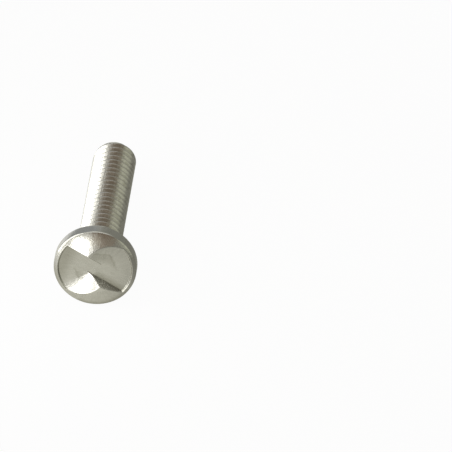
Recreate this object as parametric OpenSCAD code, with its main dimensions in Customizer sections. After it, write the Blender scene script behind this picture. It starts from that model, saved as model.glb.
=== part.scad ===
// One-way security screw: a quarter inch machine screw, 20 threads to the inch, one and a
// quarter inches under the head, with a round head. The recess lets a flat blade drive it
// clockwise against two walls and lifts the blade out over two conical ramps the other way.
// Cold formed from stainless steel in one piece, with a rolled thread. It lies on its side,
// on the rim of its head and the end of its thread. Millimetres, +Z up, thread towards +Y.

/* [Head] */
// Diameter of the head
head_d = 12; // [9:0.1:16]
// Height of the head from its bearing face to where the crown would be, unrecessed
head_h = 3.7; // [3.2:0.05:5]
// Height of the straight side wall, with both of its rounded edges
head_side_h = 2.17; // [1.9:0.01:2.6]
// Radius of the edge between bearing face and side wall
base_round = 0.35; // [0.1:0.05:0.6]
// Radius of the edge between side wall and dome
dome_round = 0.4; // [0.1:0.05:0.6]

/* [One-way recess] */
// Height of the recess floor above the bearing face
recess_floor_h = 2.1; // [1.5:0.01:2.4]
// Diameter of the recess floor
recess_floor_d = 10.45; // [9:0.05:10.7]
// Lean of the low wall around the floor, in degrees
rim_draft = 30; // [10:1:45]
// Width of the slot between the feet of its two drive walls
slot_w = 2; // [1.2:0.02:3]
// Lean of each drive wall away from the slot, in degrees
wall_draft = 25; // [5:1:35]
// Half angle of the cone that each ramp is part of, in degrees
ramp_half_angle = 68.2; // [62:0.1:76]
// Turn from the slot to the lowest line of each ramp's cone, in degrees
ramp_start = 140; // [125:1:160]
// Angle by which that line would run under the floor, in degrees
ramp_dip = 0.5; // [0.3:0.1:2]

/* [Thread] */
// Diameter over the thread
thread_d = 6.35; // [4:0.05:8]
// Distance along the axis from one turn of the thread to the next
thread_pitch = 1.27; // [0.8:0.01:1.6]
// Length from the bearing face to the end
thread_l = 31.75; // [16:0.25:60]
// Chamfer at the end of the thread
end_chamfer = 0.75; // [0.3:0.05:1.2]
// Radius of the corner between thread and bearing face
neck_round = 0.3; // [0.1:0.05:0.5]
// Distance from the bearing face to where the groove has come up to the crest
run_out_l = 0.9; // [0.7:0.1:3]

/* [Rest] */
// Turn of the slot from level, about the axis of the screw, in degrees
slot_roll = -30.5; // [-90:0.5:90]

/* [Hidden] */
$fn = 96;
steel = [0.69, 0.68, 0.64];
// Overlap of cutting shapes past the surfaces that they cut
past = 1;
// Angle between the flanks of the thread
flank_angle = 60;
// Straight stretches in one turn of the groove
turn_steps = 24;

head_r = head_d / 2;
thread_r = thread_d / 2;

// The dome is part of a sphere through the crown and the top of the side wall, and its
// rounded edge touches both the sphere and the side wall
dome_rise = head_h - head_side_h;
dome_foot_r = head_r - dome_round / 2;
dome_r = (dome_foot_r * dome_foot_r + dome_rise * dome_rise) / (2 * dome_rise);
dome_centre_h = head_h - dome_r;
edge_r = head_r - dome_round;
edge_h = dome_centre_h + sqrt(pow(dome_r - dome_round, 2) - pow(edge_r, 2));
dome_touch_r = edge_r * dome_r / (dome_r - dome_round);

// The screw rests on the rounded edge of its head and on the corner where the thread's
// chamfer starts. rest_tilt is the angle of its axis to the floor.
head_foot_r = head_r - base_round;
thread_foot_y = thread_l - end_chamfer;
foot_span = thread_foot_y + base_round;
foot_drop = head_foot_r - thread_r;
rest_tilt = atan2(foot_drop, foot_span) + asin(base_round / norm([foot_span, foot_drop]));
axis_z = thread_foot_y * sin(rest_tilt) + thread_r * cos(rest_tilt);

// Ends of the lying screw along Y, the front one at the crown that the recess takes away
end_face_r = thread_r - end_chamfer;
front_y = -head_h * cos(rest_tilt);
back_y = thread_l * cos(rest_tilt) + end_face_r * sin(rest_tilt);

// The groove between the turns leaves a crest an eighth of the pitch wide, and two straight
// sides stand for the rounded root, at the depth of the standard one. Its lips stand off the
// shank so that the crest keeps the true cylinder.
crest_half = thread_pitch / 16;
root_half = thread_pitch / 8;
lip = 0.8 * crest_half;
mouth_half = thread_pitch / 2 - crest_half;
lip_half = mouth_half + lip * tan(flank_angle / 2);
flank_depth = (mouth_half - root_half) / tan(flank_angle / 2);
root_depth = 0.6134 * thread_pitch;
groove_section = [
    [thread_r + lip, -lip_half],
    [thread_r - flank_depth, -root_half],
    [thread_r - root_depth, 0],
    [thread_r - flank_depth, root_half],
    [thread_r + lip, lip_half],
];

// The groove starts two and a half turns below a crest that reaches the start of the chamfer
// on the side that the screw rests on, and ends under the head
rest_side = -90 - slot_roll;
groove_foot_z = crest_half - thread_foot_y - 2.5 * thread_pitch;
groove_steps = floor((-run_out_l - groove_foot_z) / thread_pitch * turn_steps);

// Half of the head's section, with its dome still a full disc
module head_section() {
    translate([edge_r, edge_h]) circle(r = dome_round);
    translate([head_foot_r, base_round]) circle(r = base_round);
    square([head_foot_r, base_round]);
    translate([0, base_round]) square([head_r, edge_h - base_round]);
    intersection() {
        translate([0, base_round]) square([dome_touch_r, head_h]);
        translate([0, dome_centre_h]) circle(r = dome_r, $fn = 4 * $fn);
    }
}

// Head before its recess is struck, axis along Z, bearing face at Z = 0
module head_blank() {
    rotate_extrude() intersection() {
        head_section();
        square([head_r, head_h]);
    }
}

// Cone of one ramp. Its tip is on the axis of the screw at the height of the floor, so a
// ramp rises from the floor along a straight line that runs outwards from that tip.
module ramp_cone() {
    length = 2 * head_h;
    rotate(180 - ramp_start)
        rotate([0, 90 - ramp_half_angle + ramp_dip, 0])
            cylinder(h = length, r1 = 0, r2 = length * tan(ramp_half_angle));
}

// What stays of the dome on the far side of the slot: beyond the leaning drive wall, which
// a blade meets on its left when it turns clockwise, and under the ramp on the right, up to
// the line where the ramp has come down to the floor
module lobe_keep() {
    difference() {
        translate([-head_d, slot_w / 2, 0])
            rotate([-wall_draft, 0, 0])
                translate([0, 0, -past])
                    cube([2 * head_d, head_d, head_h]);
        ramp_cone();
        rotate(180 - ramp_start)
            translate([-head_d, -head_d, -2 * past])
                cube([3 * head_d, head_d, 2 * head_h]);
    }
}

// Everything that the punch takes out of the head, above the floor
module one_way_recess() {
    floor_r = recess_floor_d / 2;
    translate([0, 0, recess_floor_h]) difference() {
        cylinder(r1 = floor_r, r2 = floor_r + head_h * tan(rim_draft), h = head_h);
        for (turn = [0, 180]) rotate(turn) lobe_keep();
    }
}

// The groove's section after some steps along its right-hand helix. Over the last turn it
// moves outwards, until it has left the shank.
function groove_points(step) =
    let (
        angle = rest_side + 360 * step / turn_steps,
        height = groove_foot_z + thread_pitch * step / turn_steps,
        out = (root_depth + lip) * max(0, 1 - (groove_steps - step) / turn_steps)
    )
    [for (corner = groove_section) [
        (corner[0] + out) * cos(angle),
        (corner[0] + out) * sin(angle),
        corner[1] + height
    ]];

// What the rolling dies press out of the shank, from below its end to under the head
module thread_groove() {
    corners = len(groove_section);
    first_cap = [for (i = [0 : corners - 1]) i];
    last_cap = [for (i = [corners - 1 : -1 : 0]) groove_steps * corners + i];
    sides = [
        for (step = [0 : groove_steps - 1], i = [0 : corners - 1])
            let (
                a = step * corners + i,
                b = step * corners + (i + 1) % corners
            )
            each [[b, a, a + corners], [b, a + corners, b + corners]]
    ];
    polyhedron(
        points = [for (step = [0 : groove_steps]) each groove_points(step)],
        faces = concat([first_cap, last_cap], sides)
    );
}

// Blank of the shank at the diameter over the thread, with its end chamfer and rounded neck
module shank() {
    rotate_extrude() difference() {
        polygon([
            [0, base_round],
            [thread_r + neck_round, base_round],
            [thread_r + neck_round, -neck_round],
            [thread_r, -neck_round],
            [thread_r, end_chamfer - thread_l],
            [end_face_r, -thread_l],
            [0, -thread_l],
        ]);
        translate([thread_r + neck_round, -neck_round]) circle(r = neck_round);
    }
}

// The whole screw, head up
module upright_screw() {
    difference() {
        head_blank();
        one_way_recess();
    }
    difference() {
        shank();
        thread_groove();
    }
}

module screw() {
    color(steel)
        translate([0, -(front_y + back_y) / 2, axis_z])
            rotate([90 - rest_tilt, 0, 0])
                rotate(slot_roll)
                    upright_screw();
}

screw();
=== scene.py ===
"""One-way security screw: a quarter inch round-head machine screw of stainless steel, lying on its side.

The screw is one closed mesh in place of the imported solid. Its struck face is a grid raised by the
recess's own surfaces, its side is a spun profile, and its thread is one pitch of a 60 degree profile
spun along a helix. Sizes are in millimetres until the finished mesh is placed in metres. Angles are
in radians, except for the directions of the camera, the lamps and the patches of the room, which
are in degrees.
"""

import logging
import math
from dataclasses import dataclass, field
from enum import Enum
from typing import Any, Mapping, Sequence

import bmesh
import bpy
import numpy as np
from mathutils import Matrix, Vector

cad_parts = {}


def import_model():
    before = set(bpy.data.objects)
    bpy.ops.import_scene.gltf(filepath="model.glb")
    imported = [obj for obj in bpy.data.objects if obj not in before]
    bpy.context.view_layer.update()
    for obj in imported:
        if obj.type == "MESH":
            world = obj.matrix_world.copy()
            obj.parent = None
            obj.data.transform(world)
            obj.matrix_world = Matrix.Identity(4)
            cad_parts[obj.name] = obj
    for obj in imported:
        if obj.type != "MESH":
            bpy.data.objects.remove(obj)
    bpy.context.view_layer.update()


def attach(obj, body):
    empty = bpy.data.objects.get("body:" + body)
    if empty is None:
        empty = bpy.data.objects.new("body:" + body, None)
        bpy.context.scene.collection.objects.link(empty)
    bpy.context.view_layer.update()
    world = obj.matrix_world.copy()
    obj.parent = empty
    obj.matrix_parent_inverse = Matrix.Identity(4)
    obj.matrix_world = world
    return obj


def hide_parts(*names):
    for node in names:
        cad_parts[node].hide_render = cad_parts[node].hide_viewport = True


log = logging.getLogger("one_way_screw")

MM = 0.001
FULL_TURN = 2 * math.pi
WELD_DISTANCE = 0.0005
TINY = 1e-9


def smooth_max(a: np.ndarray, b: np.ndarray, width: float) -> np.ndarray:
    """The higher of two surfaces, with a rounded valley where they meet.

    Args:
        a: Heights of one surface.
        b: Heights of the other.
        width: Difference in height within which the two blend.

    Returns:
        The blended heights.
    """
    near = np.maximum(width - np.abs(a - b), 0) / width
    return np.maximum(a, b) + near * near * width / 4


def smooth_min(a: np.ndarray, b: np.ndarray, width: float) -> np.ndarray:
    """The lower of two surfaces, with a rounded edge where they meet.

    Args:
        a: Heights of one surface.
        b: Heights of the other.
        width: Difference in height within which the two blend.

    Returns:
        The blended heights.
    """
    return -smooth_max(-a, -b, width)


def arc(
    centre: tuple[float, float], radius: float, start: float, end: float, steps: int
) -> list[Vector]:
    """Points along an arc in the XZ plane, both ends among them.

    Args:
        centre: Its centre, as distance from the axis and height.
        radius: Its radius.
        start: Angle of the first point above level, in radians.
        end: Angle of the last point above level, in radians.
        steps: Number of stretches between the points.

    Returns:
        The points, at Y = 0.
    """
    angles = [start + (end - start) * step / steps for step in range(steps + 1)]
    return [
        Vector((centre[0] + radius * math.cos(a), 0, centre[1] + radius * math.sin(a)))
        for a in angles
    ]


def add_chain(bm: bmesh.types.BMesh, points: Sequence[Vector]) -> list[Any]:
    """Adds a chain of edges through the points.

    Args:
        bm: The mesh to add to.
        points: The points in order.

    Returns:
        The new vertices and edges.
    """
    verts = [bm.verts.new(point) for point in points]
    edges = [bm.edges.new(pair) for pair in zip(verts, verts[1:])]
    return [*verts, *edges]


def open_edges(bm: bmesh.types.BMesh, height: float) -> list[bmesh.types.BMEdge]:
    """The edges with one face whose ends are both at a height.

    Args:
        bm: The mesh to look through.
        height: The height along Z.

    Returns:
        The edges of that opening.
    """
    return [
        edge
        for edge in bm.edges
        if edge.is_boundary and all(abs(vert.co.z - height) < WELD_DISTANCE for vert in edge.verts)
    ]


@dataclass
class OneWayRecess:
    """The recess of the head: a floor, two leaning drive walls and two conical ramps.

    The slot runs along X. The two lobes that stay of the dome are alike, half a turn apart.
    """

    floor_height: float = 2.1
    floor_diameter: float = 10.45
    rim_draft: float = math.radians(30)
    slot_width: float = 2.0
    wall_draft: float = math.radians(25)
    ramp_half_angle: float = math.radians(68.2)
    ramp_start: float = math.radians(140)
    ramp_dip: float = math.radians(0.5)
    wall_softness: float = 0.12
    foot_softness: float = 0.08
    ramp_softness: float = 0.06
    rim_softness: float = 0.24

    def ramp_slope(self, azimuth: np.ndarray) -> np.ndarray:
        """Rise of a ramp for each millimetre from the axis.

        The ramp's cone has its tip on the axis at the height of the floor and leans away from
        its lowest line, which lies just under the floor.

        Args:
            azimuth: Angle about the axis from the slot, anticlockwise.

        Returns:
            The slope along that direction.
        """
        lean = math.pi / 2 - self.ramp_half_angle + self.ramp_dip
        turn = (azimuth - (math.pi - self.ramp_start) + math.pi) % FULL_TURN - math.pi
        level = math.sin(lean) * np.cos(np.maximum(turn, 0))
        reach = np.hypot(level, math.cos(lean))
        rise = np.arctan2(math.cos(lean), level) - np.arccos(
            np.clip(math.cos(self.ramp_half_angle) / reach, -1, 1)
        )
        return np.tan(rise)

    def lobe(self, x: np.ndarray, y: np.ndarray) -> np.ndarray:
        """Height above the floor of the lobe at +Y: under its drive wall and under its ramp.

        Args:
            x: Places along the slot.
            y: Places across it.

        Returns:
            The heights, below zero outside the lobe.
        """
        wall = (y - self.slot_width / 2) / math.tan(self.wall_draft)
        ramp = np.hypot(x, y) * self.ramp_slope(np.arctan2(y, x))
        return smooth_min(wall, ramp, self.wall_softness)

    def struck(self, x: np.ndarray, y: np.ndarray) -> tuple[np.ndarray, np.ndarray]:
        """The recess's own surfaces, as if no dome limited them.

        Args:
            x: Places along the slot.
            y: Places across it.

        Returns:
            Their heights above the bearing face, and how softly each place's edge with the dome is
            rounded: the ring around the floor more than the ramps.
        """
        rim = (np.hypot(x, y) - self.floor_diameter / 2) / math.tan(self.rim_draft)
        lobes = np.maximum(self.lobe(x, y), self.lobe(-x, -y))
        rise = smooth_max(np.zeros_like(x), rim, self.foot_softness)
        rise = smooth_max(rise, lobes, self.foot_softness)
        on_rim = np.clip((rim - lobes) / self.rim_softness, 0, 1)
        softness = self.ramp_softness + (self.rim_softness - self.ramp_softness) * on_rim
        return self.floor_height + rise, softness


@dataclass
class RoundHead:
    """The head: a bearing face, a straight side wall and a low dome, with the recess struck in it."""

    diameter: float = 12.0
    height: float = 3.7
    side_height: float = 2.17
    base_round: float = 0.35
    dome_round: float = 0.4
    recess: OneWayRecess = field(default_factory=OneWayRecess)
    face_cells: int = 100
    refinements: int = 3
    sag_limit: float = 0.003
    round_steps: int = 6

    @property
    def radius(self) -> float:
        """Half the diameter."""
        return self.diameter / 2

    @property
    def foot_radius(self) -> float:
        """Radius of the flat bearing face."""
        return self.radius - self.base_round

    @property
    def dome_radius(self) -> float:
        """The dome's sphere, which runs through the crown and the top of the side wall.

        Returns:
            Its radius.
        """
        foot = self.radius - self.dome_round / 2
        rise = self.height - self.side_height
        return (foot * foot + rise * rise) / (2 * rise)

    @property
    def dome_centre(self) -> float:
        """Height of the sphere's centre, below the bearing face."""
        return self.height - self.dome_radius

    @property
    def edge_centre(self) -> tuple[float, float]:
        """Centre of the rounded edge that touches both the dome and the side wall.

        Returns:
            Its distance from the axis and its height.
        """
        out = self.radius - self.dome_round
        up = math.sqrt((self.dome_radius - self.dome_round) ** 2 - out * out)
        return out, self.dome_centre + up

    @property
    def touch_angle(self) -> float:
        """Angle above level at which the rounded edge meets the dome."""
        out, up = self.edge_centre
        return math.atan2(up - self.dome_centre, out)

    @property
    def face_radius(self) -> float:
        """Radius at which the dome ends and the rounded edge starts."""
        return self.dome_radius * math.cos(self.touch_angle)

    @property
    def rim_steps(self) -> int:
        """Edges around the face's grid, once it is round."""
        return 4 * self.face_cells

    def surface(self, x: np.ndarray, y: np.ndarray) -> np.ndarray:
        """Height of the struck face.

        Args:
            x: Places along the slot.
            y: Places across it.

        Returns:
            The dome where it stays, and the recess elsewhere, with soft edges between them.
        """
        dome = self.dome_centre + np.sqrt(self.dome_radius**2 - x * x - y * y)
        struck, softness = self.recess.struck(x, y)
        return smooth_min(dome, struck, softness)

    def build(self, bm: bmesh.types.BMesh) -> None:
        """Adds the head, open at the bearing face.

        Args:
            bm: The empty mesh to build in.
        """
        self.build_face(bm)
        self.build_side(bm)
        bmesh.ops.remove_doubles(bm, verts=bm.verts, dist=WELD_DISTANCE)

    def build_face(self, bm: bmesh.types.BMesh) -> None:
        """Adds the struck face: a round grid, finer where the surface bends, raised to its height.

        Args:
            bm: The empty mesh to build in.
        """
        bmesh.ops.create_grid(bm, x_segments=self.face_cells, y_segments=self.face_cells, size=1)
        for vert in bm.verts:
            vert.co = self.rounded(vert.co)
        for _ in range(self.refinements):
            bent = self.bent_edges(bm)
            bmesh.ops.subdivide_edges(bm, edges=bent, cuts=1, use_grid_fill=True)
        places = np.array([vert.co[:2] for vert in bm.verts])
        for vert, height in zip(bm.verts, self.surface(places[:, 0], places[:, 1])):
            vert.co.z = height
        bmesh.ops.triangulate(bm, faces=[face for face in bm.faces if len(face.verts) != 4])

    def rounded(self, corner: Vector) -> Vector:
        """Moves a point of the square from -1 to 1 to its place on the round face.

        Args:
            corner: The point of the square.

        Returns:
            The point of the disc, whose rings come from the square's own rings.
        """
        x, y = corner.x, corner.y
        if abs(x) < TINY and abs(y) < TINY:
            return Vector((0, 0, 0))
        if abs(x) >= abs(y):
            ring, angle = x, math.pi / 4 * y / x
        else:
            ring, angle = y, math.pi / 2 - math.pi / 4 * x / y
        return Vector((ring * math.cos(angle), ring * math.sin(angle), 0)) * self.face_radius

    def bent_edges(self, bm: bmesh.types.BMesh) -> list[bmesh.types.BMEdge]:
        """The edges whose middle the surface leaves by more than sag_limit.

        Args:
            bm: The flat grid.

        Returns:
            The edges to cut in two.
        """
        ends = np.array([[vert.co[:2] for vert in edge.verts] for edge in bm.edges])
        raised = self.surface(ends[..., 0], ends[..., 1]).mean(axis=1)
        middle = ends.mean(axis=1)
        sag = np.abs(self.surface(middle[:, 0], middle[:, 1]) - raised)
        return [edge for edge, gap in zip(bm.edges, sag) if gap > self.sag_limit]

    def build_side(self, bm: bmesh.types.BMesh) -> None:
        """Adds the rounded edge, the side wall and the rounding down to the bearing face.

        Args:
            bm: The mesh to add to.
        """
        out, up = self.edge_centre
        base = (self.foot_radius, self.base_round)
        profile = [
            *arc((out, up), self.dome_round, self.touch_angle, 0, self.round_steps),
            *arc(base, self.base_round, 0, -math.pi / 2, self.round_steps),
        ]
        bmesh.ops.spin(
            bm,
            geom=add_chain(bm, profile),
            cent=(0, 0, 0),
            axis=(0, 0, 1),
            angle=FULL_TURN,
            steps=self.rim_steps,
            use_merge=True,
        )


@dataclass
class MachineThread:
    """The threaded shank: right-hand, 20 threads to the inch, with a 60 degree profile.

    The groove comes up to the crest just under the head, and the end has a chamfer. crest_flat,
    root_round and root_depth are shares of the pitch, as the standard for the profile gives them.
    """

    diameter: float = 6.35
    length: float = 31.75
    pitch: float = 1.27
    end_chamfer: float = 0.75
    neck_round: float = 0.3
    run_out: float = 0.9
    crest_flat: float = 1 / 8
    crest_round: float = 0.05
    root_round: float = 0.144
    root_depth: float = 0.6134
    flank_angle: float = math.radians(30)
    turn_steps: int = 96
    crest_steps: int = 2
    root_steps: int = 5
    neck_steps: int = 4

    @property
    def radius(self) -> float:
        """Half the diameter over the thread."""
        return self.diameter / 2

    @property
    def foot(self) -> float:
        """Height of a crest's middle, three turns below the one that reaches the end's chamfer."""
        return self.crest_flat * self.pitch / 2 - self.length + self.end_chamfer - 3 * self.pitch

    def groove(self) -> list[Vector]:
        """One pitch of the profile, from the middle of a crest to the middle of the next.

        Returns:
            The points, rising along Z, with rounded crest corners and a rounded root.
        """
        flat = self.crest_flat * self.pitch / 2
        bend = math.pi / 2 - self.flank_angle
        corner = self.crest_round * math.tan(bend / 2)
        crest_arc = arc(
            (self.radius - self.crest_round, flat - corner), self.crest_round, 0, bend, self.crest_steps
        )
        root_radius = self.root_round * self.pitch
        root_centre = (self.radius - self.root_depth * self.pitch + root_radius, self.pitch / 2)
        root_arc = arc(root_centre, root_radius, math.pi + bend, math.pi - bend, self.root_steps)
        far_arc = [Vector((point.x, 0, self.pitch - point.z)) for point in reversed(crest_arc)]
        middle = Vector((self.radius, 0, 0))
        last = Vector((self.radius, 0, self.pitch))
        return [middle, *crest_arc, *root_arc, *far_arc, last]

    def build(self, bm: bmesh.types.BMesh, rest_side: float) -> None:
        """Adds the threaded tube, its end face and its neck, open at the bearing face.

        Args:
            bm: The empty mesh to build in.
            rest_side: Angle about the axis at which a crest reaches the start of the chamfer.
        """
        start = Matrix.Rotation(rest_side, 4, "Z") @ Matrix.Translation((0, 0, self.foot))
        bmesh.ops.spin(
            bm,
            geom=add_chain(bm, [start @ point for point in self.groove()]),
            cent=(0, 0, 0),
            axis=(0, 0, 1),
            dvec=(0, 0, self.pitch / self.turn_steps),
            angle=FULL_TURN,
            steps=self.turn_steps,
            use_merge=False,
        )
        self.stack_turns(bm)
        self.cut(bm, -self.length, keep_below=False)
        self.cut(bm, self.end_chamfer - self.length)
        self.cut(bm, -self.neck_round, keep_above=False)
        for vert in bm.verts:
            reach = math.hypot(vert.co.x, vert.co.y)
            share = self.limited(vert.co, reach, rest_side) / reach
            vert.co.x *= share
            vert.co.y *= share
        bmesh.ops.edgeloop_fill(bm, edges=open_edges(bm, -self.length))
        self.build_neck(bm)

    def stack_turns(self, bm: bmesh.types.BMesh) -> None:
        """Repeats the one turn in the mesh up the axis, to past the bearing face, and welds them.

        Args:
            bm: The mesh that holds one turn.
        """
        turn = [*bm.verts, *bm.edges, *bm.faces]
        for number in range(1, math.ceil(-self.foot / self.pitch) + 1):
            copy = bmesh.ops.duplicate(bm, geom=turn)["geom"]
            verts = [item for item in copy if isinstance(item, bmesh.types.BMVert)]
            bmesh.ops.translate(bm, verts=verts, vec=(0, 0, number * self.pitch))
        bmesh.ops.remove_doubles(bm, verts=bm.verts, dist=WELD_DISTANCE)

    def limited(self, point: Vector, reach: float, rest_side: float) -> float:
        """Distance of a point from the axis after the run-out and the end chamfer.

        Over its last turn the groove moves outwards, until it has left the shank.

        Args:
            point: The point on the endless thread.
            reach: Its distance from the axis.
            rest_side: Angle about the axis at which the helix starts at its foot.

        Returns:
            The distance from the axis on the screw.
        """
        turned = ((math.atan2(point.y, point.x) - rest_side) % FULL_TURN) / FULL_TURN
        number = math.floor((point.z - self.foot) / self.pitch - turned)
        middle = self.foot + self.pitch * (number + turned + 0.5)
        left = (-self.run_out - middle) / self.pitch
        out = (self.root_depth + self.crest_flat / 2) * self.pitch * max(0, 1 - left)
        cone = self.radius - self.end_chamfer + point.z + self.length
        return min(self.radius, reach + out, cone)

    @staticmethod
    def cut(
        bm: bmesh.types.BMesh, height: float, keep_below: bool = True, keep_above: bool = True
    ) -> None:
        """Cuts the tube level at a height, and drops a side that isn't kept.

        Args:
            bm: The mesh that holds the tube.
            height: The height of the cut.
            keep_below: Whether what lies below stays.
            keep_above: Whether what lies above stays.
        """
        bmesh.ops.bisect_plane(
            bm,
            geom=[*bm.verts, *bm.edges, *bm.faces],
            dist=WELD_DISTANCE,
            plane_co=(0, 0, height),
            plane_no=(0, 0, 1),
            clear_inner=not keep_below,
            clear_outer=not keep_above,
        )

    def build_neck(self, bm: bmesh.types.BMesh) -> None:
        """Widens the tube's upper opening into the round neck, up to the bearing face.

        Args:
            bm: The mesh that holds the tube.
        """
        edges = open_edges(bm, -self.neck_round)
        for step in range(1, self.neck_steps + 1):
            angle = math.pi / 2 * step / self.neck_steps
            made = bmesh.ops.extrude_edge_only(bm, edges=edges)["geom"]
            edges = [item for item in made if isinstance(item, bmesh.types.BMEdge)]
            reach = self.radius + self.neck_round * (1 - math.cos(angle))
            height = self.neck_round * (math.sin(angle) - 1)
            for vert in {vert for edge in edges for vert in edge.verts}:
                share = reach / math.hypot(vert.co.x, vert.co.y)
                vert.co = Vector((vert.co.x * share, vert.co.y * share, height))
            edges = [edge for edge in edges if edge.is_boundary]


@dataclass
class LyingScrew:
    """The whole screw, and how it comes to rest on the rim of its head and the end of its thread."""

    head: RoundHead = field(default_factory=RoundHead)
    thread: MachineThread = field(default_factory=MachineThread)
    slot_roll: float = math.radians(-30.5)
    smooth_angle: float = math.radians(40)

    @property
    def rest_tilt(self) -> float:
        """How the screw leans while it rests on its head's lower rim and its thread's end.

        Returns:
            The angle of the axis to the floor.
        """
        span = self.thread.length - self.thread.end_chamfer + self.head.base_round
        drop = self.head.foot_radius - self.thread.radius
        return math.atan2(drop, span) + math.asin(self.head.base_round / math.hypot(span, drop))

    @property
    def bearing_centre(self) -> Vector:
        """Centre of the bearing face of the lying screw.

        Returns:
            The point in the row frame, in millimetres.
        """
        tilt, thread = self.rest_tilt, self.thread
        front = -self.head.height * math.cos(tilt)
        end_radius = thread.radius - thread.end_chamfer
        back = thread.length * math.cos(tilt) + end_radius * math.sin(tilt)
        foot = thread.length - thread.end_chamfer
        height = foot * math.sin(tilt) + thread.radius * math.cos(tilt)
        return Vector((0, -(front + back) / 2, height))

    @property
    def placement(self) -> Matrix:
        """How the upright screw is laid down.

        Returns:
            The transform, from millimetres to metres.
        """
        lying = Matrix.Rotation(math.pi / 2 - self.rest_tilt, 4, "X")
        rolled = Matrix.Rotation(self.slot_roll, 4, "Z")
        return Matrix.Scale(MM, 4) @ Matrix.Translation(self.bearing_centre) @ lying @ rolled

    def join(self) -> bmesh.types.BMesh:
        """Builds shank and head, and closes the bearing face between them.

        Returns:
            The closed mesh of the upright screw, in millimetres.
        """
        bm = bmesh.new()
        self.thread.build(bm, rest_side=-math.pi / 2 - self.slot_roll)
        head = bmesh.new()
        self.head.build(head)
        # A bmesh takes in another one only by way of a mesh
        blank = bpy.data.meshes.new("head")
        head.to_mesh(blank)
        head.free()
        bm.from_mesh(blank)
        bpy.data.meshes.remove(blank)
        bmesh.ops.triangle_fill(bm, use_beauty=True, edges=open_edges(bm, 0), normal=(0, 0, -1))
        bmesh.ops.triangulate(bm, faces=[face for face in bm.faces if len(face.verts) > 4])
        bmesh.ops.recalc_face_normals(bm, faces=bm.faces)
        return bm

    def build(self, finish: bpy.types.Material) -> bpy.types.Object:
        """Builds the screw as one closed mesh, in its place on the floor.

        Args:
            finish: The material of the whole screw.

        Returns:
            The object, with its place in its mesh.
        """
        bm = self.join()
        bmesh.ops.transform(bm, matrix=self.placement, verts=bm.verts)
        loose = sum(not edge.is_manifold for edge in bm.edges)
        volume = bm.calc_volume(signed=True) / MM**3
        mesh = bpy.data.meshes.new("one_way_screw")
        bm.to_mesh(mesh)
        bm.free()
        mesh.shade_smooth()
        mesh.set_sharp_from_angle(angle=self.smooth_angle)
        mesh.materials.append(finish)
        piece = bpy.data.objects.new("one_way_screw", mesh)
        bpy.context.scene.collection.objects.link(piece)
        mesh.calc_loop_triangles()
        count = len(mesh.loop_triangles)
        log.info("one_way_screw: %d triangles, %d open edges, %.1f mm3", count, loose, volume)
        return piece


def linear(colour: str) -> tuple[float, float, float, float]:
    """An sRGB hex colour as a linear one.

    Args:
        colour: Six hex digits after a number sign.

    Returns:
        Red, green, blue and an alpha of 1.
    """
    channels = [int(colour[place : place + 2], 16) / 255 for place in (1, 3, 5)]
    red, green, blue = (c / 12.92 if c <= 0.04045 else ((c + 0.055) / 1.055) ** 2.4 for c in channels)
    return red, green, blue, 1.0


def add_node(
    tree: bpy.types.NodeTree, kind: str, inputs: Mapping[Any, Any], **settings: Any
) -> bpy.types.Node:
    """Adds a node with its settings, values and links.

    Args:
        tree: The node tree.
        kind: The node's type.
        inputs: For each input's name or number, a value, or a socket to link from.
        settings: The node's own properties.

    Returns:
        The node.
    """
    node = tree.nodes.new(kind)
    for name, value in settings.items():
        setattr(node, name, value)
    for key, value in inputs.items():
        if isinstance(value, bpy.types.NodeSocket):
            tree.links.new(value, node.inputs[key])
        else:
            node.inputs[key].default_value = value
    return node


@dataclass(frozen=True)
class SteelPlace:
    """Where a point of the steel lies on the upright screw, as sockets of its material.

    All are in millimetres: the place itself, the same without its height, the distance from the
    axis and the height above the bearing face.
    """

    tree: bpy.types.NodeTree
    upright: bpy.types.NodeSocket
    across: bpy.types.NodeSocket
    reach: bpy.types.NodeSocket
    height: bpy.types.NodeSocket

    @classmethod
    def on_screw(cls, tree: bpy.types.NodeTree, screw: LyingScrew) -> "SteelPlace":
        """Works the place out from the object's own coordinates.

        Args:
            tree: The material's nodes.
            screw: The screw that the material is for.

        Returns:
            The place.
        """
        lying = add_node(tree, "ShaderNodeTexCoord", {}).outputs["Object"]
        upright = add_node(
            tree,
            "ShaderNodeMapping",
            {
                "Vector": lying,
                "Location": screw.bearing_centre * MM,
                "Rotation": (math.pi / 2 - screw.rest_tilt, 0, 0),
                "Scale": (MM, MM, MM),
            },
            vector_type="TEXTURE",
        ).outputs["Vector"]
        across = add_node(
            tree, "ShaderNodeVectorMath", {0: upright, 1: (1, 1, 0)}, operation="MULTIPLY"
        ).outputs["Vector"]
        reach = add_node(tree, "ShaderNodeVectorMath", {0: across}, operation="LENGTH").outputs["Value"]
        height = add_node(tree, "ShaderNodeSeparateXYZ", {"Vector": upright}).outputs["Z"]
        return cls(tree, upright, across, reach, height)

    def towards(self, way: Vector) -> bpy.types.NodeSocket:
        """Distance from the axis in one direction across it."""
        inputs = {0: self.upright, 1: way}
        return add_node(self.tree, "ShaderNodeVectorMath", inputs, operation="DOT_PRODUCT").outputs["Value"]


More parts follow.
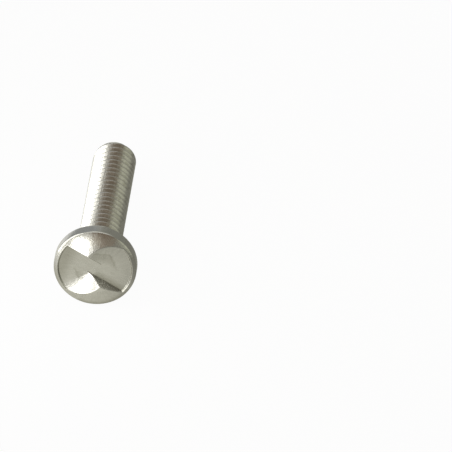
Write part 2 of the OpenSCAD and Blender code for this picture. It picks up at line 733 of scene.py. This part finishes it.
@dataclass(frozen=True)
class StainlessSteel:
    """Stainless steel wire, cold formed, thread rolled, then tumbled bright.

    Warm grey metal with a satin gloss. The punch leaves fine streaks that run out from the axis,
    and tumbling leaves small marks all over. Both are finer on the real screw, and are drawn about
    a pixel wide so that they show. A dull olive colour is painted shade. It darkens the roots of the
    thread, parts of the recess's floor and, faintly, its ramps. Each field that gives an amount of
    the painted shade is its largest share at its place, and worn is the range of the wear pattern
    from polish to dullness.
    """

    bright: str = "#E5E4DE"
    grey: str = "#BFBEB6"
    # The olive colour of the painted shade in the thread's roots and in the recess.
    painted_shade: str = "#686448"
    mottle_size: float = 1.4
    mottle_layers: float = 4.0
    mark_size: float = 0.22
    mark_layers: float = 3.0
    streak_width: float = 0.16
    streak_radius: float = 3.0
    streak_layers: float = 2.0
    streak_tone: float = 0.7
    streak_relief: float = 2.2
    relief_depth: float = 0.02
    relief_strength: float = 0.35
    polish: float = 0.16
    dullness: float = 0.3
    thread_dullness: float = 0.27
    worn: tuple[float, float] = (0.1, 0.45)
    thread_top: float = -0.2
    # Where the shade is painted: the thread's roots, faintly over the recess, more at the slot's upper end,
    # most in the corner at the lower drive wall's foot, and on a crescent on the ramps.
    unshaded_radius: float = 2.95
    root_radius: float = 2.4
    root_painted_shade: float = 0.8
    root_shade_patches: tuple[float, float] = (0.3, 0.6)
    recess_painted_shade: float = 0.09
    floor_play: float = 0.05
    floor_shade_rise: float = 0.5
    end_painted_shade: float = 0.4
    end_shade_range: tuple[float, float] = (2.6, 4.6)
    end_shade_turn: float = math.radians(9)
    corner_painted_shade: float = 0.5
    corner_shade_width: float = 1.3
    corner_shade_start: float = 0.8
    ramp_painted_shade: float = 0.22
    ramp_shade_radius: float = 2.8
    ramp_shade_bend: float = 1.6
    ramp_shade_softness: float = 0.3
    ramp_shade_top: float = 1.1
    crescent_painted_shade: float = 0.33
    crescent_half_width: float = 0.42

    def build(self, screw: LyingScrew) -> bpy.types.Material:
        """Makes the material, with its patterns centred on the screw's axis.

        Args:
            screw: The screw that it is for.

        Returns:
            The material.
        """
        material = bpy.data.materials.new("stainless_steel")
        material.use_nodes = True
        tree = material.node_tree
        tree.nodes.clear()
        place = SteelPlace.on_screw(tree, screw)
        mottle = add_node(
            tree,
            "ShaderNodeTexNoise",
            {"Vector": place.upright, "Scale": 1 / self.mottle_size, "Detail": self.mottle_layers},
        ).outputs["Fac"]
        marks = add_node(
            tree,
            "ShaderNodeTexNoise",
            {"Vector": place.upright, "Scale": 1 / self.mark_size, "Detail": self.mark_layers},
        ).outputs["Fac"]
        streaks = self.streaks(place)
        on_thread = add_node(
            tree, "ShaderNodeMath", {0: place.height, 1: self.thread_top}, operation="LESS_THAN"
        ).outputs["Value"]
        tone = add_node(tree, "ShaderNodeMix", {"Factor": self.streak_tone, "A": mottle, "B": streaks})
        metal = add_node(
            tree,
            "ShaderNodeMix",
            {"Factor": tone.outputs["Result"], "A": linear(self.bright), "B": linear(self.grey)},
            data_type="RGBA",
        ).outputs["Result"]
        # Painted shade: the olive colour darkens the thread's roots, the recess's floor and its ramps.
        painted_shade = self.root_shade_share(place, screw.thread, on_thread, mottle)
        for share in (self.floor_shade_share(place, screw), self.ramp_shade_share(place, screw, mottle)):
            painted_shade = add_node(
                tree, "ShaderNodeMath", {0: painted_shade, 1: share}, operation="MAXIMUM"
            ).outputs["Value"]
        colour = add_node(
            tree, "ShaderNodeMix", {"Factor": painted_shade, "A": metal, "B": linear(self.painted_shade)}, data_type="RGBA"
        ).outputs["Result"]
        wear = add_node(
            tree, "ShaderNodeMath", {0: streaks, 1: marks}, operation="MULTIPLY"
        ).outputs["Value"]
        gloss = add_node(
            tree,
            "ShaderNodeMapRange",
            {
                "Value": wear,
                "From Min": self.worn[0],
                "From Max": self.worn[1],
                "To Min": self.polish,
                "To Max": self.dullness,
            },
        ).outputs["Result"]
        gloss = add_node(
            tree, "ShaderNodeMix", {"Factor": on_thread, "A": gloss, "B": self.thread_dullness}
        ).outputs["Result"]
        relief = add_node(
            tree, "ShaderNodeMath", {0: streaks, 1: self.streak_relief, 2: marks}, operation="MULTIPLY_ADD"
        ).outputs["Value"]
        bump = add_node(
            tree,
            "ShaderNodeBump",
            {"Strength": self.relief_strength, "Distance": self.relief_depth * MM, "Height": relief},
        ).outputs["Normal"]
        shader = add_node(
            tree,
            "ShaderNodeBsdfPrincipled",
            {"Base Color": colour, "Metallic": 1.0, "Roughness": gloss, "Normal": bump},
        )
        add_node(tree, "ShaderNodeOutputMaterial", {"Surface": shader.outputs["BSDF"]})
        return material

    def streaks(self, place: SteelPlace) -> bpy.types.NodeSocket:
        """Streaks that run out from the axis, of their full width at streak_radius.

        Args:
            place: Where the point lies on the screw.

        Returns:
            The value of the pattern.
        """
        tree = place.tree
        way = add_node(
            tree, "ShaderNodeVectorMath", {0: place.across}, operation="NORMALIZE"
        ).outputs["Vector"]
        spread = add_node(
            tree,
            "ShaderNodeVectorMath",
            {0: way, "Scale": self.streak_radius / self.streak_width},
            operation="SCALE",
        ).outputs["Vector"]
        out = add_node(tree, "ShaderNodeCombineXYZ", {"Z": place.reach}).outputs["Vector"]
        vector = add_node(
            tree, "ShaderNodeVectorMath", {0: spread, 1: out}, operation="ADD"
        ).outputs["Vector"]
        return add_node(
            tree, "ShaderNodeTexNoise", {"Vector": vector, "Scale": 1.0, "Detail": self.streak_layers}
        ).outputs["Fac"]

    def root_shade_share(
        self,
        place: SteelPlace,
        thread: MachineThread,
        on_thread: bpy.types.NodeSocket,
        mottle: bpy.types.NodeSocket,
    ) -> bpy.types.NodeSocket:
        """Share of the painted shade in the thread: its full root share at the roots, none on its crests or
        its end.

        Args:
            place: Where the point lies on the screw.
            thread: The thread.
            on_thread: 1 on the shank, 0 on the head.
            mottle: The pattern that breaks up the painted shade.

        Returns:
            The share, from 0 to its full root share.
        """
        tree = place.tree
        above_end = add_node(
            tree,
            "ShaderNodeMath",
            {0: place.height, 1: thread.neck_round - thread.length},
            operation="GREATER_THAN",
        ).outputs["Value"]
        depth = add_node(
            tree,
            "ShaderNodeMapRange",
            {
                "Value": place.reach,
                "From Min": self.unshaded_radius,
                "From Max": self.root_radius,
                "To Max": self.root_painted_shade,
            },
            interpolation_type="SMOOTHSTEP",
        ).outputs["Result"]
        patchy = add_node(
            tree,
            "ShaderNodeMapRange",
            {"Value": mottle, "From Min": self.root_shade_patches[0], "From Max": self.root_shade_patches[1]},
        ).outputs["Result"]
        painted_shade = depth
        for share in (on_thread, above_end, patchy):
            painted_shade = add_node(
                tree, "ShaderNodeMath", {0: painted_shade, 1: share}, operation="MULTIPLY"
            ).outputs["Value"]
        return painted_shade

    def floor_shade_share(self, place: SteelPlace, screw: LyingScrew) -> bpy.types.NodeSocket:
        """Share of the painted shade on the recess's floor.

        It is faint all over and stronger towards the slot's upper end, where it stands in for a darker
        reflection. It is strongest in the corner at the foot of the lower drive wall, where it stands in
        for the wall's shade.

        Args:
            place: Where the point lies on the screw.
            screw: The screw.

        Returns:
            The share, from 0 to the corner's full share.
        """
        tree = place.tree
        recess = screw.head.recess
        slot = Vector((math.cos(screw.slot_roll), math.sin(screw.slot_roll), 0))
        # Painted shade: darker towards the slot's upper end and in the corner at the lower drive wall's
        # foot.
        shaded_end = Matrix.Rotation(self.end_shade_turn, 3, "Z") @ -slot
        wall_side = Matrix.Rotation(-math.pi / 2, 3, "Z") @ slot
        near_end = add_node(
            tree,
            "ShaderNodeMapRange",
            {
                "Value": place.towards(shaded_end),
                "From Min": self.end_shade_range[0],
                "From Max": self.end_shade_range[1],
                "To Min": self.recess_painted_shade,
                "To Max": self.end_painted_shade,
            },
            interpolation_type="SMOOTHSTEP",
        ).outputs["Result"]
        near_wall = add_node(
            tree,
            "ShaderNodeMapRange",
            {
                "Value": place.towards(wall_side),
                "From Min": recess.slot_width / 2 - self.corner_shade_width,
                "From Max": recess.slot_width / 2,
                "To Max": self.corner_painted_shade,
            },
        ).outputs["Result"]
        beside_wall = add_node(
            tree, "ShaderNodeMapRange", {"Value": place.towards(slot), "From Max": self.corner_shade_start}
        ).outputs["Result"]
        above = add_node(
            tree,
            "ShaderNodeMath",
            {0: place.height, 1: recess.floor_height - self.floor_play},
            operation="GREATER_THAN",
        ).outputs["Value"]
        low = add_node(
            tree,
            "ShaderNodeMapRange",
            {
                "Value": place.height,
                "From Min": recess.floor_height + self.floor_shade_rise,
                "From Max": recess.floor_height,
            },
        ).outputs["Result"]
        corner = add_node(
            tree, "ShaderNodeMath", {0: near_wall, 1: beside_wall}, operation="MULTIPLY"
        ).outputs["Value"]
        painted_shade = add_node(
            tree, "ShaderNodeMath", {0: near_end, 1: corner}, operation="MAXIMUM"
        ).outputs["Value"]
        for share in (above, low):
            painted_shade = add_node(
                tree, "ShaderNodeMath", {0: painted_shade, 1: share}, operation="MULTIPLY"
            ).outputs["Value"]
        return painted_shade

    def ramp_shade_share(
        self, place: SteelPlace, screw: LyingScrew, mottle: bpy.types.NodeSocket
    ) -> bpy.types.NodeSocket:
        """Share of the painted shade on the ramps: a little around the axis, more on a crescent around
        that.

        Args:
            place: Where the point lies on the screw.
            screw: The screw.
            mottle: The pattern that bends the crescent.

        Returns:
            The share, from 0 to the crescent's full share.
        """
        tree = place.tree
        recess = screw.head.recess
        # Painted shade on the ramps: faint around the axis, darker on a bent crescent.
        bent = add_node(
            tree,
            "ShaderNodeMath",
            {0: mottle, 1: self.ramp_shade_bend, 2: place.reach},
            operation="MULTIPLY_ADD",
        ).outputs["Value"]
        off_ring = add_node(
            tree,
            "ShaderNodeMath",
            {0: bent, 1: self.ramp_shade_radius + self.ramp_shade_bend / 2},
            operation="SUBTRACT",
        ).outputs["Value"]
        within = add_node(
            tree,
            "ShaderNodeMapRange",
            {
                "Value": off_ring,
                "From Min": self.ramp_shade_softness,
                "From Max": -self.ramp_shade_softness,
                "To Min": self.recess_painted_shade,
                "To Max": self.ramp_painted_shade,
            },
            interpolation_type="SMOOTHSTEP",
        ).outputs["Result"]
        distance = add_node(tree, "ShaderNodeMath", {0: off_ring}, operation="ABSOLUTE").outputs["Value"]
        crescent = add_node(
            tree,
            "ShaderNodeMapRange",
            {
                "Value": distance,
                "From Min": self.crescent_half_width,
                "From Max": 0.0,
                "To Max": self.crescent_painted_shade,
            },
            interpolation_type="SMOOTHSTEP",
        ).outputs["Result"]
        across_slot = Vector((-math.sin(screw.slot_roll), math.cos(screw.slot_roll), 0))
        off_slot = add_node(
            tree, "ShaderNodeMath", {0: place.towards(across_slot)}, operation="ABSOLUTE"
        ).outputs["Value"]
        beside = add_node(
            tree,
            "ShaderNodeMapRange",
            {"Value": off_slot, "From Min": recess.slot_width / 2, "From Max": recess.slot_width},
        ).outputs["Result"]
        below = add_node(
            tree,
            "ShaderNodeMath",
            {0: place.height, 1: recess.floor_height + self.ramp_shade_top},
            operation="LESS_THAN",
        ).outputs["Value"]
        painted_shade = add_node(
            tree, "ShaderNodeMath", {0: within, 1: crescent}, operation="MAXIMUM"
        ).outputs["Value"]
        for share in (beside, below):
            painted_shade = add_node(
                tree, "ShaderNodeMath", {0: painted_shade, 1: share}, operation="MULTIPLY"
            ).outputs["Value"]
        return painted_shade


@dataclass(frozen=True)
class WhitePaper:
    """Matt white paper, the floor under the screw.

    To the camera it is nearly washed out, so that only a trace of the shadow stays. In the steel
    it shows a painted, glowing tone: painted light towards the windows, painted shade that is
    off-white under the screw and darker on the right.
    """

    sheet: str = "#E6E6E3"
    backdrop: str = "#FFFFFF"
    middle: str = "#E2E1D4"
    shaded: str = "#66655A"
    camera_veil: float = 0.96
    mirror_veil: float = 0.6
    left_fall_mm: tuple[float, float] = (-24.0, -8.0)
    right_fall_mm: tuple[float, float] = (-2.0, 14.0)
    side: float = 3.0

    def finish(self) -> bpy.types.Material:
        """Makes the paper's material.

        Returns:
            The material.
        """
        material = bpy.data.materials.new("white_paper")
        material.use_nodes = True
        tree = material.node_tree
        tree.nodes.clear()
        rays = add_node(tree, "ShaderNodeLightPath", {})
        matt = add_node(tree, "ShaderNodeBsdfDiffuse", {"Color": linear(self.sheet)})
        place = add_node(tree, "ShaderNodeTexCoord", {}).outputs["Object"]
        to_right = add_node(tree, "ShaderNodeSeparateXYZ", {"Vector": place}).outputs["X"]
        white = linear(self.backdrop)
        # Painted light and shade for the steel's reflections: the glowing tone runs from white on the left
        # to the middle colour under the screw and to the shaded colour on the right.
        tone = self.change(tree, white, linear(self.middle), to_right, self.left_fall_mm)
        tone = self.change(tree, tone, linear(self.shaded), to_right, self.right_fall_mm)
        tone = add_node(
            tree,
            "ShaderNodeMix",
            {"Factor": rays.outputs["Is Camera Ray"], "A": tone, "B": white},
            data_type="RGBA",
        ).outputs["Result"]
        glow = add_node(tree, "ShaderNodeEmission", {"Color": tone, "Strength": 1.0})
        mirrored = add_node(
            tree,
            "ShaderNodeMath",
            {0: rays.outputs["Is Glossy Ray"], 1: rays.outputs["Is Transmission Ray"]},
            operation="MAXIMUM",
        ).outputs["Value"]
        mirror_share = add_node(
            tree, "ShaderNodeMath", {0: mirrored, 1: self.mirror_veil}, operation="MULTIPLY"
        ).outputs["Value"]
        share = add_node(
            tree,
            "ShaderNodeMath",
            {0: rays.outputs["Is Camera Ray"], 1: self.camera_veil, 2: mirror_share},
            operation="MULTIPLY_ADD",
        ).outputs["Value"]
        mixed = add_node(
            tree, "ShaderNodeMixShader", {0: share, 1: matt.outputs["BSDF"], 2: glow.outputs["Emission"]}
        )
        add_node(tree, "ShaderNodeOutputMaterial", {"Surface": mixed.outputs["Shader"]})
        return material

    def build(self) -> bpy.types.Object:
        """Makes the floor.

        Returns:
            The floor object, with its top face at Z = 0.
        """
        bm = bmesh.new()
        bmesh.ops.create_grid(bm, x_segments=1, y_segments=1, size=self.side / 2)
        mesh = bpy.data.meshes.new("paper")
        bm.to_mesh(mesh)
        bm.free()
        mesh.materials.append(self.finish())
        floor = bpy.data.objects.new("paper", mesh)
        bpy.context.scene.collection.objects.link(floor)
        return floor

    @staticmethod
    def change(
        tree: bpy.types.NodeTree,
        before: Any,
        after: Any,
        place: bpy.types.NodeSocket,
        range_mm: tuple[float, float],
    ) -> bpy.types.NodeSocket:
        """A colour that changes softly to another one over a range of the paper.

        Args:
            tree: The material's nodes.
            before: The first colour, as a value or a socket.
            after: The second colour, as a value or a socket.
            place: The place along the range, in metres.
            range_mm: Where the change starts and ends, in millimetres.

        Returns:
            The colour.
        """
        share = add_node(
            tree,
            "ShaderNodeMapRange",
            {"Value": place, "From Min": range_mm[0] * MM, "From Max": range_mm[1] * MM},
            interpolation_type="SMOOTHSTEP",
        ).outputs["Result"]
        return add_node(
            tree, "ShaderNodeMix", {"Factor": share, "A": before, "B": after}, data_type="RGBA"
        ).outputs["Result"]


def direction(azimuth: float, elevation: float) -> Vector:
    """A direction out from the screw.

    Args:
        azimuth: Degrees to the right of -Y, as seen from the camera's side.
        elevation: Degrees above level.

    Returns:
        The unit vector.
    """
    turn, rise = math.radians(azimuth), math.radians(elevation)
    return Vector((math.sin(turn) * math.cos(rise), -math.cos(turn) * math.cos(rise), math.sin(rise)))


@dataclass(frozen=True)
class Patch:
    """A round patch of the room with a soft edge, by direction and angles of view in degrees."""

    azimuth: float
    elevation: float
    half_width: float
    softness: float
    colour: str

    def lay_over(
        self, tree: bpy.types.NodeTree, sight: bpy.types.NodeSocket, room: bpy.types.NodeSocket
    ) -> bpy.types.NodeSocket:
        """Lays the patch over the room's colour.

        Args:
            tree: The world's nodes.
            sight: The direction that is seen.
            room: The colour there before.

        Returns:
            The colour with the patch.
        """
        near = add_node(
            tree,
            "ShaderNodeVectorMath",
            {0: sight, 1: direction(self.azimuth, self.elevation)},
            operation="DOT_PRODUCT",
        ).outputs["Value"]
        share = add_node(
            tree,
            "ShaderNodeMapRange",
            {
                "Value": near,
                "From Min": math.cos(math.radians(self.half_width + self.softness)),
                "From Max": math.cos(math.radians(self.half_width)),
            },
            interpolation_type="SMOOTHSTEP",
        ).outputs["Result"]
        return add_node(
            tree, "ShaderNodeMix", {"Factor": share, "A": room, "B": linear(self.colour)}, data_type="RGBA"
        ).outputs["Result"]


class Surroundings(Enum):
    """The patches of the room that the steel mirrors."""

    CEILING = Patch(azimuth=0, elevation=90, half_width=14, softness=22, colour="#F4F4F0")
    GREEN_GREY = Patch(azimuth=56, elevation=19, half_width=13, softness=11, colour="#D0D1C0")
    BROWN = Patch(azimuth=10, elevation=24, half_width=8, softness=11, colour="#978A7C")
    CREAM = Patch(azimuth=-7, elevation=24, half_width=5, softness=7, colour="#D9D2C5")
    BROWN_ABOVE = Patch(azimuth=16, elevation=48, half_width=18, softness=10, colour="#807264")
    BACK_LEFT = Patch(azimuth=-130, elevation=24, half_width=38, softness=14, colour="#A0A2A3")


@dataclass(frozen=True)
class Lamp:
    """A soft rectangular lamp that faces the screw, by direction and angles of view in degrees."""

    name: str
    azimuth: float
    elevation: float
    width: float
    height: float
    distance_mm: float
    radiance: float

    def build(self, target_mm: Vector) -> bpy.types.Object:
        """Makes the lamp.

        Args:
            target_mm: The point that it faces, in the row frame.

        Returns:
            The lamp object.
        """
        data = bpy.data.lights.new(self.name, "AREA")
        data.shape = "RECTANGLE"
        data.size = 2 * self.distance_mm * MM * math.tan(math.radians(self.width / 2))
        data.size_y = 2 * self.distance_mm * MM * math.tan(math.radians(self.height / 2))
        data.energy = self.radiance * math.pi * data.size * data.size_y
        lamp = bpy.data.objects.new(self.name, data)
        out = direction(self.azimuth, self.elevation)
        lamp.location = (target_mm + out * self.distance_mm) * MM
        lamp.rotation_euler = out.to_track_quat("Z", "Y").to_euler()
        bpy.context.scene.collection.objects.link(lamp)
        return lamp


@dataclass
class Studio:
    """The camera at the photograph's place, the windows on the left and the room.

    One window is in front, its low sill stands close to the head, and one is beside the shank.
    """

    image_px: int = 452
    px_per_mm: float = 6.93
    bearing_px: tuple[float, float] = (96.24, 261.2)
    elevation: float = 34.13
    azimuth: float = 5.08
    distance_mm: float = 1245.0
    sensor_mm: float = 36.0
    window: Lamp = Lamp(
        "window", azimuth=-25, elevation=12, width=22, height=24, distance_mm=600, radiance=4
    )
    window_sill: Lamp = Lamp(
        "window_sill", azimuth=-40, elevation=-1.4, width=18, height=14, distance_mm=40, radiance=2
    )
    side_window: Lamp = Lamp(
        "side_window", azimuth=-58, elevation=25, width=42, height=50, distance_mm=60, radiance=2.4
    )
    side_aim_y_mm: float = 9.0
    room_left: str = "#D7D6D2"
    room_right: str = "#8F8F88"
    room_fall: tuple[float, float] = (-0.25, 0.2)

    def add_windows(self, screw: LyingScrew) -> None:
        """Adds the lamps, two that face the head and one that faces the shank.

        Args:
            screw: The screw that they light.
        """
        self.window.build(screw.bearing_centre)
        self.window_sill.build(screw.bearing_centre)
        self.side_window.build(Vector((0, self.side_aim_y_mm, screw.thread.radius)))

    def add_camera(self, target_mm: Vector) -> bpy.types.Object:
        """Adds the camera so that the bearing face's centre falls on its pixel.

        Args:
            target_mm: The bearing face's centre in the row frame.

        Returns:
            The camera.
        """
        back = direction(self.azimuth, self.elevation)
        right = Vector((math.cos(math.radians(self.azimuth)), math.sin(math.radians(self.azimuth)), 0))
        up = back.cross(right)
        eye = target_mm + back * self.distance_mm
        middle = self.image_px / 2
        aim = target_mm + right * ((middle - self.bearing_px[0]) / self.px_per_mm)
        aim += up * ((self.bearing_px[1] - middle) / self.px_per_mm)
        back = (eye - aim).normalized()
        right = (right - back * right.dot(back)).normalized()
        up = back.cross(right)
        data = bpy.data.cameras.new("camera")
        data.sensor_width = self.sensor_mm
        data.lens = self.sensor_mm * self.distance_mm * self.px_per_mm / self.image_px
        camera = bpy.data.objects.new("camera", data)
        camera.matrix_world = Matrix.Translation(eye * MM) @ Matrix((right, up, back)).transposed().to_4x4()
        bpy.context.scene.collection.objects.link(camera)
        bpy.context.scene.camera = camera
        return camera

    def build_room(self) -> bpy.types.World:
        """Makes the even room: lighter to the left, darker to the right, with its patches.

        Returns:
            The world.
        """
        world = bpy.data.worlds.new("room")
        world.use_nodes = True
        tree = world.node_tree
        tree.nodes.clear()
        sight = add_node(tree, "ShaderNodeTexCoord", {}).outputs["Generated"]
        parts = add_node(tree, "ShaderNodeSeparateXYZ", {"Vector": sight})
        to_right = add_node(
            tree,
            "ShaderNodeMapRange",
            {"Value": parts.outputs["X"], "From Min": self.room_fall[0], "From Max": self.room_fall[1]},
            interpolation_type="SMOOTHSTEP",
        ).outputs["Result"]
        room = add_node(
            tree,
            "ShaderNodeMix",
            {"Factor": to_right, "A": linear(self.room_left), "B": linear(self.room_right)},
            data_type="RGBA",
        ).outputs["Result"]
        for patch in Surroundings:
            room = patch.value.lay_over(tree, sight, room)
        light = add_node(tree, "ShaderNodeBackground", {"Color": room, "Strength": 1.0})
        add_node(tree, "ShaderNodeOutputWorld", {"Surface": light.outputs["Background"]})
        bpy.context.scene.world = world
        return world


def main() -> None:
    """Loads the frame, builds the screw around it and sets up the studio."""
    logging.basicConfig(level=logging.INFO, format="%(message)s")
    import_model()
    bpy.context.scene.view_settings.view_transform = "Standard"
    screw = LyingScrew()
    piece = screw.build(StainlessSteel().build(screw))
    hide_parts("screw")
    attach(piece, "root")
    WhitePaper().build()
    studio = Studio()
    studio.add_camera(screw.bearing_centre)
    studio.add_windows(screw)
    studio.build_room()
    bpy.context.view_layer.update()


if __name__ == "__main__":
    main()
